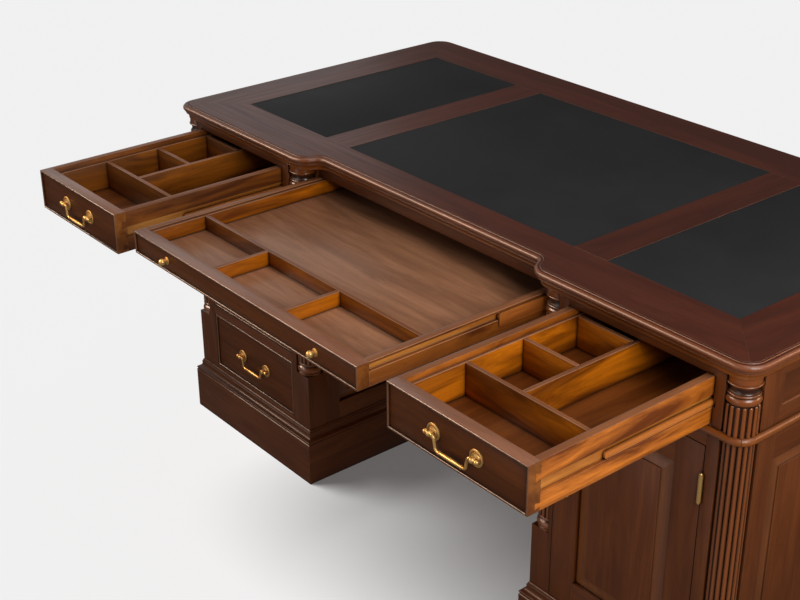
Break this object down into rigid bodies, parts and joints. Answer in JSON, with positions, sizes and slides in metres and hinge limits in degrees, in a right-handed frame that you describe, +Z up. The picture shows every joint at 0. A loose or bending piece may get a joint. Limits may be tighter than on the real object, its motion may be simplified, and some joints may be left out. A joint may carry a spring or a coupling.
{
  "type": "partners desk",
  "caption": "Partners desk with leather-lined top, recessed centre drawer, compartmented frieze drawers, drawer pedestal, panelled cupboards, reeded corner columns and brass handles.",
  "frame": {"origin": "on the floor, at the centre of the stand", "axes": "+X along the desk, to the right of a person who sits at the drawer side; -Y towards that person; +Z up"},
  "size_m": [1.6, 1.176, 0.78],
  "materials": {
    "top_wood": "satin lacquer",
    "leather": "fine grain, matt",
    "case_wood": "satin lacquer",
    "turned_wood": "satin lacquer, worn high spots",
    "panel_wood": "satin lacquer",
    "inside_wood": "plain",
    "door_wood": "satin lacquer",
    "front_wood": "satin lacquer",
    "drawer_wood": "satin",
    "tray_wood": "satin",
    "slide_wood": "satin",
    "brass": "antique, lightly toned"
  },
  "bodies": {
    "desk": {"top_border_long": "top_wood", "top_border_ends": "top_wood", "top_crossbars": "top_wood", "cove_moulding": "top_wood", "leather_panels": "leather", "frieze_posts": "case_wood", "frieze_rails": "case_wood", "pedestal_posts": "case_wood", "side_rails": "case_wood", "front_rails": "case_wood", "plinths": "case_wood", "astragals": "case_wood", "capitals": "turned_wood", "columns": "turned_wood", "side_panels": "panel_wood", "top_core": "inside_wood", "frieze_floors": "inside_wood", "frieze_guides": "inside_wood", "pedestal_boards": "inside_wood", "back_frieze_fronts": "front_wood", "back_frieze_knobs": "brass", "hinge_leaves": "brass"},
    "right_drawer": {"right_drawer_front": "front_wood", "right_drawer_box": "drawer_wood", "right_drawer_tray": "tray_wood", "right_drawer_handle_posts": "brass"},
    "right_slides": {"right_drawer_slides": "slide_wood"},
    "right_bail": {"right_drawer_bail": "brass"},
    "left_drawer": {"left_drawer_front": "front_wood", "left_drawer_box": "drawer_wood", "left_drawer_tray": "tray_wood", "left_drawer_handle_posts": "brass"},
    "left_slides": {"left_drawer_slides": "slide_wood"},
    "left_bail": {"left_drawer_bail": "brass"},
    "centre_drawer": {"centre_drawer_front": "front_wood", "centre_drawer_box": "drawer_wood", "centre_drawer_tray": "tray_wood", "centre_drawer_knobs": "brass"},
    "centre_slides": {"centre_drawer_slides": "slide_wood"},
    "lower_drawer": {"lower_drawer_front": "front_wood", "lower_drawer_box": "drawer_wood", "lower_drawer_handle_posts": "brass"},
    "lower_bail": {"lower_drawer_bail": "brass"},
    "middle_drawer": {"middle_drawer_front": "front_wood", "middle_drawer_box": "drawer_wood", "middle_drawer_handle_posts": "brass"},
    "middle_bail": {"middle_drawer_bail": "brass"},
    "upper_drawer": {"upper_drawer_front": "front_wood", "upper_drawer_box": "drawer_wood", "upper_drawer_handle_posts": "brass"},
    "upper_bail": {"upper_drawer_bail": "brass"},
    "front_right_door": {"front_right_door_frame": "door_wood", "front_right_door_panel": "door_wood", "front_right_door_brass": "brass"},
    "back_right_door": {"back_right_door_frame": "door_wood", "back_right_door_panel": "door_wood", "back_right_door_brass": "brass"},
    "back_left_door": {"back_left_door_frame": "door_wood", "back_left_door_panel": "door_wood", "back_left_door_brass": "brass"}
  },
  "joints": [
    {"name": "right_drawer_slide", "type": "slide", "parent": "desk", "child": "right_drawer", "axis": [0, -1, 0], "range_m": [-0.39, 0]},
    {"name": "right_slides_run", "type": "slide", "parent": "desk", "child": "right_slides", "axis": [0, -1, 0], "range_m": [-0.2652, 0]},
    {"name": "left_drawer_slide", "type": "slide", "parent": "desk", "child": "left_drawer", "axis": [0, -1, 0], "range_m": [-0.39, 0]},
    {"name": "left_slides_run", "type": "slide", "parent": "desk", "child": "left_slides", "axis": [0, -1, 0], "range_m": [-0.2652, 0]},
    {"name": "centre_drawer_slide", "type": "slide", "parent": "desk", "child": "centre_drawer", "axis": [0, -1, 0], "range_m": [-0.432, 0]},
    {"name": "centre_slides_run", "type": "slide", "parent": "desk", "child": "centre_slides", "axis": [0, -1, 0], "range_m": [-0.162, 0]},
    {"name": "lower_drawer_slide", "type": "slide", "parent": "desk", "child": "lower_drawer", "axis": [0, -1, 0], "range_m": [0, 0.28]},
    {"name": "middle_drawer_slide", "type": "slide", "parent": "desk", "child": "middle_drawer", "axis": [0, -1, 0], "range_m": [0, 0.28]},
    {"name": "upper_drawer_slide", "type": "slide", "parent": "desk", "child": "upper_drawer", "axis": [0, -1, 0], "range_m": [0, 0.28]},
    {"name": "right_bail_swing", "type": "hinge", "parent": "right_drawer", "child": "right_bail", "pos_m": [0.5695, -0.773, 0.695], "axis": [-1, 0, 0], "range_deg": [0, 160]},
    {"name": "left_bail_swing", "type": "hinge", "parent": "left_drawer", "child": "left_bail", "pos_m": [-0.5695, -0.773, 0.695], "axis": [-1, 0, 0], "range_deg": [0, 160]},
    {"name": "lower_bail_swing", "type": "hinge", "parent": "lower_drawer", "child": "lower_bail", "pos_m": [-0.565, -0.383, 0.2085], "axis": [-1, 0, 0], "range_deg": [0, 160]},
    {"name": "middle_bail_swing", "type": "hinge", "parent": "middle_drawer", "child": "middle_bail", "pos_m": [-0.565, -0.383, 0.3685], "axis": [-1, 0, 0], "range_deg": [0, 160]},
    {"name": "upper_bail_swing", "type": "hinge", "parent": "upper_drawer", "child": "upper_bail", "pos_m": [-0.565, -0.383, 0.5285], "axis": [-1, 0, 0], "range_deg": [0, 160]},
    {"name": "front_right_door_swing", "type": "hinge", "parent": "desk", "child": "front_right_door", "pos_m": [0.71925, -0.3808, 0.3695], "axis": [0, 0, 1], "range_deg": [0, 95]},
    {"name": "back_right_door_swing", "type": "hinge", "parent": "desk", "child": "back_right_door", "pos_m": [0.71925, 0.3808, 0.3695], "axis": [0, 0, -1], "range_deg": [0, 95]},
    {"name": "back_left_door_swing", "type": "hinge", "parent": "desk", "child": "back_left_door", "pos_m": [-0.71925, 0.3808, 0.3695], "axis": [0, 0, 1], "range_deg": [0, 95]}
  ],
  "couplings": [
    {"joint": "right_slides_run", "follows": "right_drawer_slide", "ratio": 0.68},
    {"joint": "left_slides_run", "follows": "left_drawer_slide", "ratio": 0.68},
    {"joint": "centre_slides_run", "follows": "centre_drawer_slide", "ratio": 0.375}
  ]
}
